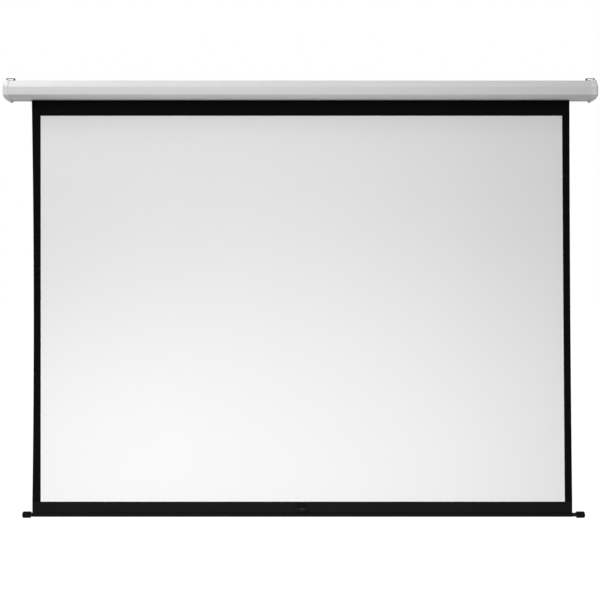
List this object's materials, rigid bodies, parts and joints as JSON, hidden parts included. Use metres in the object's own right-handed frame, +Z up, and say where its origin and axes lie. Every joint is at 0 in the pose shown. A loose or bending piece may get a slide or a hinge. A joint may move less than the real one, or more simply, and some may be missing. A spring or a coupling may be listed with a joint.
{
  "type": "pull down projector screen",
  "caption": "Pull down projector screen: a faceted white casing with rounded end caps and hangers, a spring roller, a black bordered white fabric and a black bottom rod with end plugs.",
  "frame": {"origin": "on the wall plane that the backs of the end caps touch, at mid length and mid height of the casing", "axes": "+X along the casing to the right as the audience sees it, +Y into the wall, +Z up"},
  "size_m": [2.2794, 0.076, 1.7039],
  "materials": {
    "casing_white": "semi-gloss white powder coat on rolled steel sheet",
    "cap_white": "satin moulded white plastic",
    "zinc_steel": "zinc plated steel",
    "dark_steel": "blackened steel",
    "spring_steel": "oiled spring wire",
    "nylon": "natural nylon",
    "viewing_white": "matte white coated fabric",
    "masking_black": "matte black coated fabric",
    "rod_black": "satin black paint on steel",
    "plug_black": "moulded black plastic"
  },
  "bodies": {
    "housing": {"casing": "casing_white", "left_end_cap": "cap_white", "right_end_cap": "cap_white", "left_hanger": "zinc_steel", "right_hanger": "zinc_steel", "left_bracket": "zinc_steel", "right_bracket": "zinc_steel", "left_hanger_screw_1": "zinc_steel", "left_hanger_screw_2": "zinc_steel", "right_hanger_screw_1": "zinc_steel", "right_hanger_screw_2": "zinc_steel", "left_cap_screw_1": "zinc_steel", "left_cap_screw_2": "zinc_steel", "right_cap_screw_1": "zinc_steel", "right_cap_screw_2": "zinc_steel", "left_underside_screw": "dark_steel", "right_underside_screw": "dark_steel", "spindle": "zinc_steel", "spindle_clip": "spring_steel", "ratchet_hub": "dark_steel", "spring_collar": "zinc_steel", "idler_bush": "nylon"},
    "roller": {"roller_tube": "zinc_steel", "fabric_on_roller": "masking_black", "idler_plug": "nylon", "idler_plug_rivet": "zinc_steel", "idler_pin": "zinc_steel", "ratchet_plug": "nylon", "ratchet_plug_rivet": "zinc_steel", "pawl_pin_rear": "zinc_steel", "pawl_pin_front": "zinc_steel", "spring_anchor": "zinc_steel", "torsion_spring": "spring_steel"},
    "pawl_upper": {"pawl_upper": "dark_steel"},
    "pawl_lower": {"pawl_lower": "dark_steel"},
    "screen": {"fabric_backing": "masking_black", "viewing_surface": "viewing_white", "lower_border": "masking_black", "hem_pocket": "masking_black", "bottom_rod": "rod_black", "rod_plug_left": "plug_black", "rod_plug_right": "plug_black", "handle_plate": "rod_black", "handle_back_plate": "rod_black", "handle_screw_left": "dark_steel", "handle_screw_right": "dark_steel", "bail_pin": "dark_steel"},
    "pull_bail": {"pull_bail": "plug_black"}
  },
  "joints": [
    {"name": "screen_drop", "type": "slide", "parent": "housing", "child": "screen", "axis": [0, 0, 1], "range_m": [0, 1.562], "deforming": ["fabric_backing", "viewing_surface"]},
    {"name": "roller_spin", "type": "hinge", "parent": "housing", "child": "roller", "pos_m": [0, -0.041, 0], "axis": [1, 0, 0], "range_deg": [0, 3960]},
    {"name": "pawl_upper_swing", "type": "hinge", "parent": "roller", "child": "pawl_upper", "pos_m": [-1.115, -0.026, 0], "axis": [1, 0, 0], "range_deg": [0, 16]},
    {"name": "pawl_lower_swing", "type": "hinge", "parent": "roller", "child": "pawl_lower", "pos_m": [-1.115, -0.056, 0], "axis": [1, 0, 0], "range_deg": [0, 16]},
    {"name": "bail_fold", "type": "hinge", "parent": "screen", "child": "pull_bail", "pos_m": [0.006, -0.02705, -1.6298], "axis": [1, 0, 0], "range_deg": [0, 170]}
  ],
  "couplings": [
    {"joint": "roller_spin", "follows": "screen_drop", "rad_per_m": 44.248}
  ]
}
